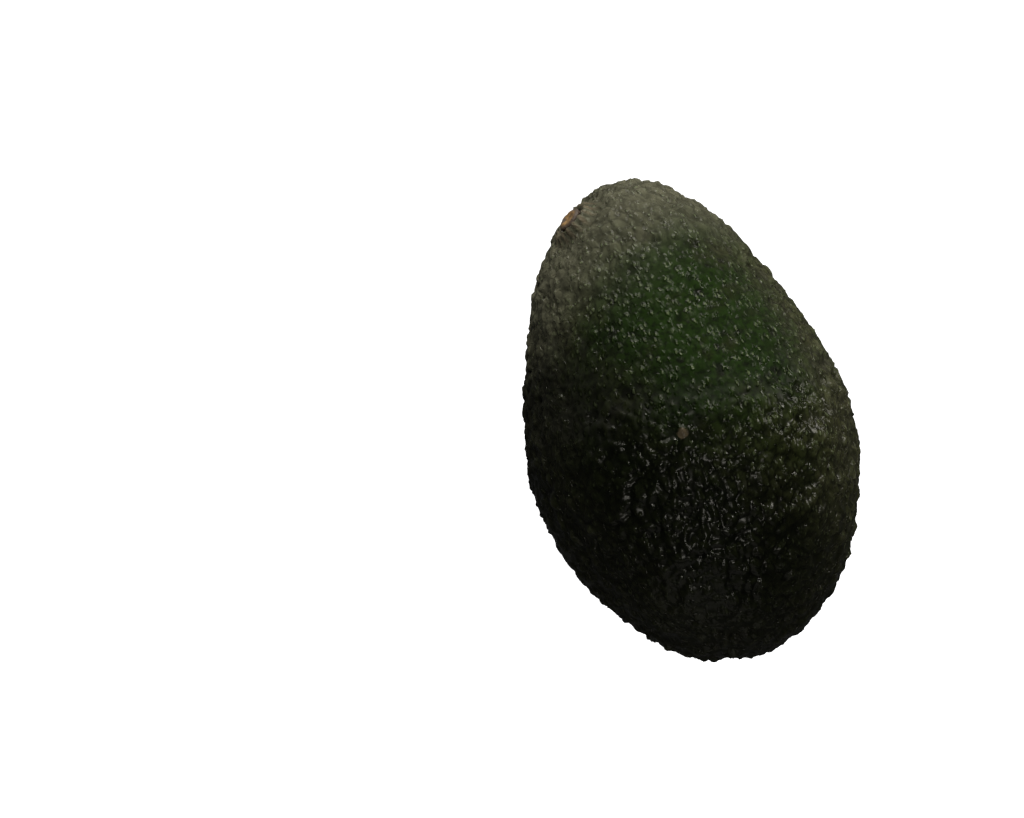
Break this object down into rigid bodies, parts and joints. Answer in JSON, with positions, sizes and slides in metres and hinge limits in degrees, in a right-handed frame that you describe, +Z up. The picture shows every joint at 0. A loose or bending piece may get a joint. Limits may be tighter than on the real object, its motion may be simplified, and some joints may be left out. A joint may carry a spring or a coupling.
{
  "type": "avocado",
  "caption": "Whole ripe avocado lying on its side, egg-shaped with dark pebbled skin, and a dried stalk button set in its stem end.",
  "frame": {"origin": "on the surface that the fruit rests on, under the middle of its bounding box", "axes": "+Z up, away from the surface that the fruit rests on; +Y along the fruit, from the wide blossom end towards the narrow stem end"},
  "size_m": [0.0666, 0.1002, 0.0632],
  "materials": {
    "skin": "dark green pebbled rind, waxy, almost black in the hollows",
    "stalk": "dried, corky, dull amber brown"
  },
  "bodies": {
    "root": {"fruit": "skin", "stem_button": "stalk"}
  },
  "joints": []
}
